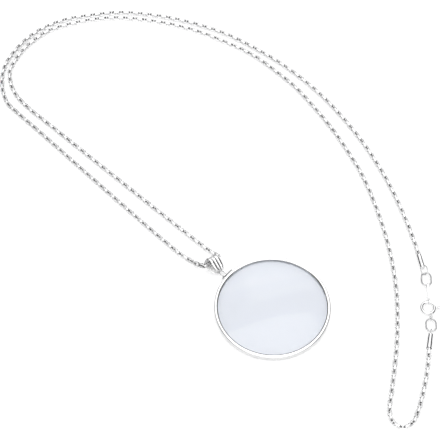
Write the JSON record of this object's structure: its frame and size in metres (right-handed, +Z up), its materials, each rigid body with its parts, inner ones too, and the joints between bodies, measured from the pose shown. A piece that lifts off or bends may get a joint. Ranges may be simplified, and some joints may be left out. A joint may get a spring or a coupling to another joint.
{
  "type": "magnifier pendant",
  "caption": "Round magnifying glass in a metal frame, hung by a bail on a long chain loop with a spring ring clasp, laid flat.",
  "frame": {"origin": "middle of the whole laid-out necklace's box, on the surface that it lies on", "axes": "+Z up from the surface, +Y away from the viewer of the picture, +X to the right"},
  "size_m": [0.1785, 0.201, 0.0069],
  "materials": {
    "glass": "polished, clear",
    "frame": "polished silver plate",
    "findings": "polished silver plate",
    "bail": "polished silver plate, ribbed",
    "chain": "polished silver plate"
  },
  "bodies": {
    "necklace": {"lens": "glass", "frame": "frame", "bail_ring": "findings", "bail": "bail", "chain_outer": "chain", "chain_inner": "chain", "end_cap_a": "findings", "end_cap_b": "findings", "jump_ring_a": "findings", "tag": "findings", "clasp_body": "findings", "jump_ring_b": "findings"},
    "bolt": {"clasp_bolt": "findings"}
  },
  "joints": [
    {"name": "bolt_turn", "type": "hinge", "parent": "necklace", "child": "bolt", "pos_m": [0.0844, -0.0492, 0.00105], "axis": [0, 0, 1], "range_deg": [-52, 0], "stiffness_Nm_per_rad": 0.000001, "springref_deg": 17.19}
  ]
}
